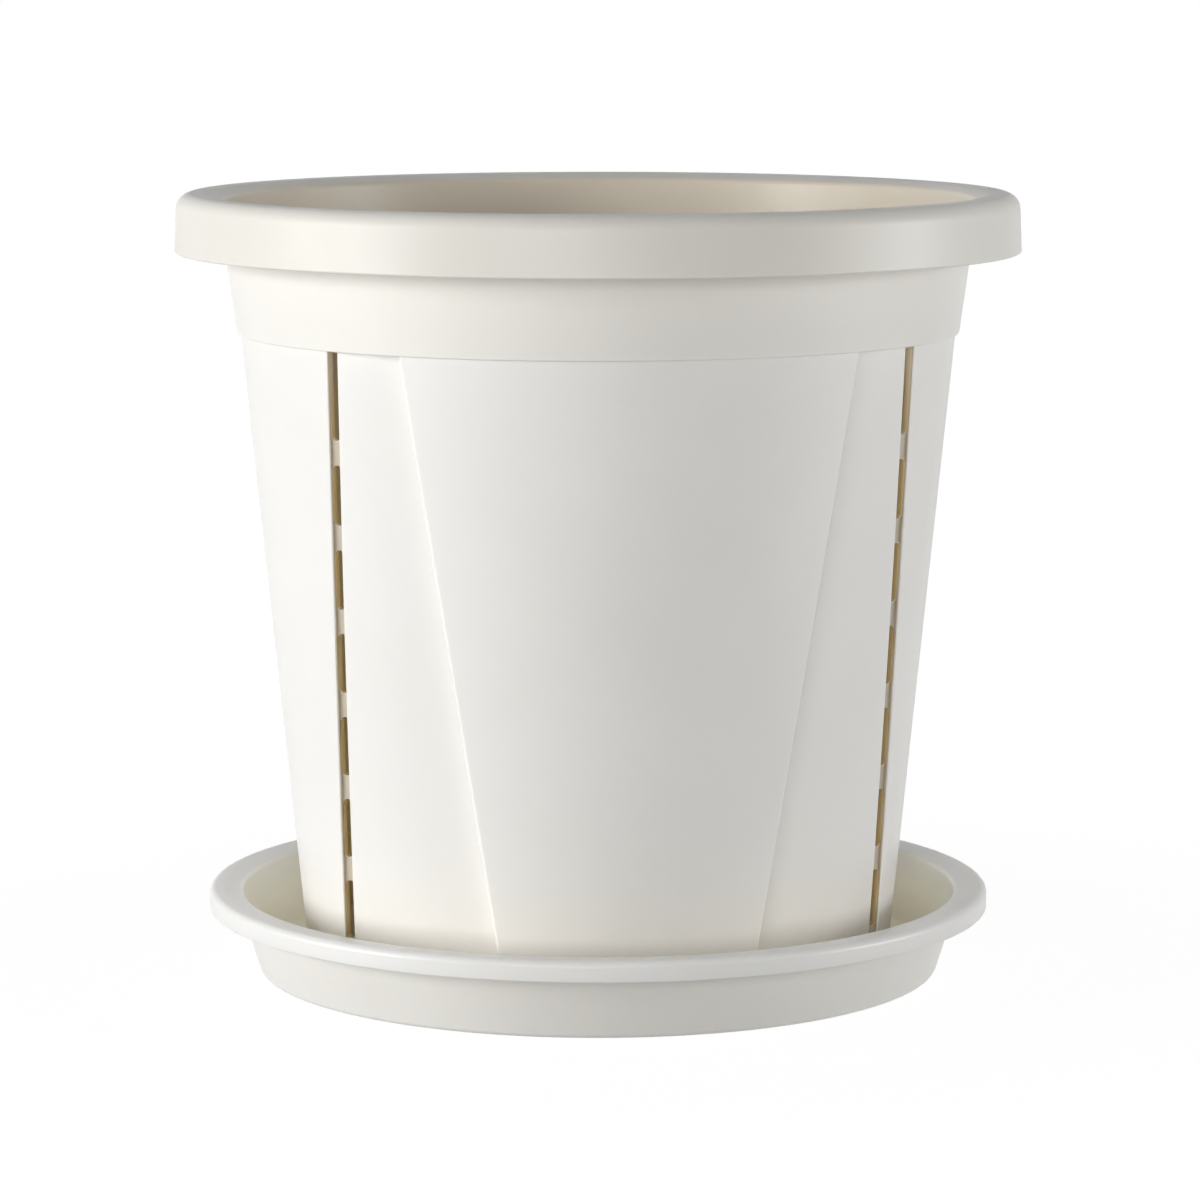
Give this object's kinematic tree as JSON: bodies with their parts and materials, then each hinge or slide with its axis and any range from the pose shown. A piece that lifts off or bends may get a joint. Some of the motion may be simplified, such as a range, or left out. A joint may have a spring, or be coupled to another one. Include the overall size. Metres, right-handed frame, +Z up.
{
  "type": "slotted plant pot",
  "caption": "Round tapered plastic plant pot with a rolled rim, recessed side wings and columns of narrow air slots, standing in a matching round saucer.",
  "frame": {"origin": "centre of the saucer's underside, on the surface it stands on", "axes": "+Z up along the common axis of pot and saucer, -Y out of the front panel, +X to the right seen from the front"},
  "size_m": [0.3, 0.3, 0.279],
  "materials": {
    "pot_plastic": "satin moulded polypropylene, warm ivory",
    "saucer_plastic": "satin moulded polypropylene, warm ivory, a little smoother than the pot"
  },
  "bodies": {
    "saucer": {"saucer": "saucer_plastic"},
    "pot": {"pot": "pot_plastic"}
  },
  "joints": [
    {"name": "pot_lift", "type": "slide", "parent": "saucer", "child": "pot", "axis": [0, 0, 1], "range_m": [0, 0.06]}
  ]
}
